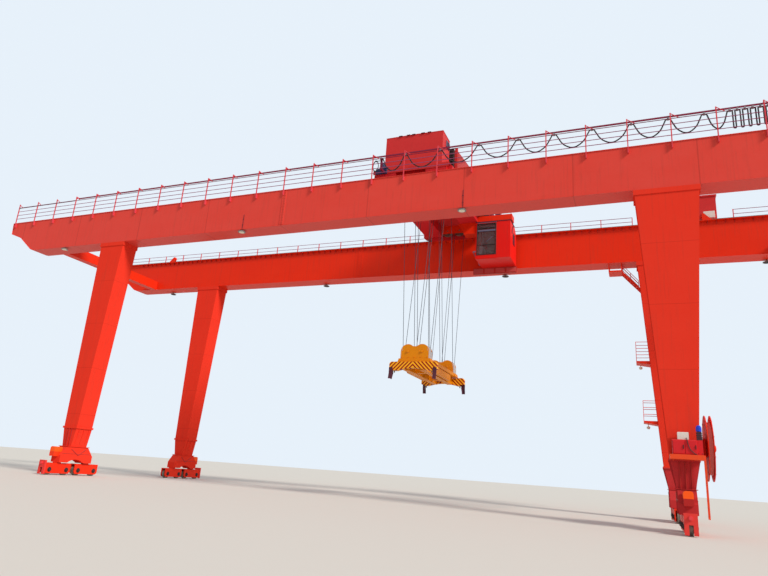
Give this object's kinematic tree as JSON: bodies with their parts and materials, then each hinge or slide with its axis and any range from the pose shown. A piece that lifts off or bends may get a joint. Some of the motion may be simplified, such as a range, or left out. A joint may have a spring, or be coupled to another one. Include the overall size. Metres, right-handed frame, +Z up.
{
  "type": "rail-mounted gantry crane",
  "caption": "Half-size model of a rail-mounted container gantry crane with travelling trolley, hoisted spreader, hanging cab, festoon cable and cable reel.",
  "frame": {"origin": "on the level under the travel wheels, below the middle of the girders", "axes": "+X along the girders from the slim legs to the wide legs, +Y along the crane rails away from the cable reel's ladder side, +Z up"},
  "size_m": [28.18, 7.51, 11.0029],
  "materials": {
    "red_paint": "satin",
    "orange_paint": "satin",
    "yellow_paint": "satin",
    "house_paint": "satin",
    "cab_paint": "satin",
    "grey_paint": "satin",
    "dark_paint": "satin",
    "maroon_paint": "satin",
    "cable_tan": "matt",
    "blue_paint": "gloss",
    "lamp_grey": "satin",
    "white_plastic": "satin",
    "galvanised": "dull",
    "rail_steel": "worn",
    "cast_wheel": "worn",
    "rope_steel": "greased",
    "cable_black": "matt",
    "rubber": "matt",
    "cab_glass": "tinted"
  },
  "bodies": {
    "gantry": {"near_girder": "red_paint", "far_girder": "red_paint", "flange_brackets": "red_paint", "end_beams": "red_paint", "trolley_rails": "rail_steel", "rail_end_stops": "yellow_paint", "slim_legs": "red_paint", "wide_legs": "red_paint", "saddles": "red_paint", "bogies": "red_paint", "travel_wheels": "cast_wheel", "travel_drives": "orange_paint", "rail_buffers": "rubber", "near_railing": "yellow_paint", "far_railing": "yellow_paint", "festoon_track": "maroon_paint", "festoon_carriers": "galvanised", "festoon_cable": "cable_black", "floodlights": "lamp_grey", "electric_house": "house_paint", "house_brackets": "red_paint", "air_conditioner": "white_plastic", "leg_landings": "red_paint", "leg_stair": "galvanised", "base_platform": "orange_paint", "control_cabinets": "orange_paint", "junction_box": "grey_paint", "motor_stand": "red_paint", "motor_gear": "dark_paint", "reel_motor": "blue_paint", "base_ladder": "galvanised", "reel_stand": "red_paint"},
    "trolley": {"trolley_frame": "red_paint", "trolley_wheels": "cast_wheel", "trolley_deck": "red_paint", "machinery_room": "house_paint", "winch_hood": "red_paint", "sheave_beams": "red_paint", "trolley_sheaves": "cast_wheel", "hoist_ropes": "rope_steel", "cab_shell": "cab_paint", "cab_windows": "cab_glass", "cab_base": "grey_paint", "cab_hanger": "red_paint", "tow_arm": "red_paint", "trolley_railing": "yellow_paint"},
    "spreader": {"headblock": "orange_paint", "sheave_guards": "orange_paint", "headblock_sheaves": "cast_wheel", "spreader_frame": "orange_paint", "spreader_ends": "orange_paint", "twistlocks": "rail_steel", "corner_guides": "dark_paint"},
    "reel": {"cable_reel": "galvanised", "reel_cable": "cable_tan"}
  },
  "joints": [
    {"name": "trolley_travel", "type": "slide", "parent": "gantry", "child": "trolley", "axis": [1, 0, 0], "range_m": [-11.5, 6.65], "deforming": ["festoon_cable", "festoon_carriers"]},
    {"name": "spreader_hoist", "type": "slide", "parent": "trolley", "child": "spreader", "axis": [0, 0, 1], "range_m": [-3.3, 4], "deforming": ["hoist_ropes"]},
    {"name": "cable_reel_spin", "type": "hinge", "parent": "gantry", "child": "reel", "pos_m": [9.4, -2.3, 1.775], "axis": [1, 0, 0], "continuous": true}
  ]
}
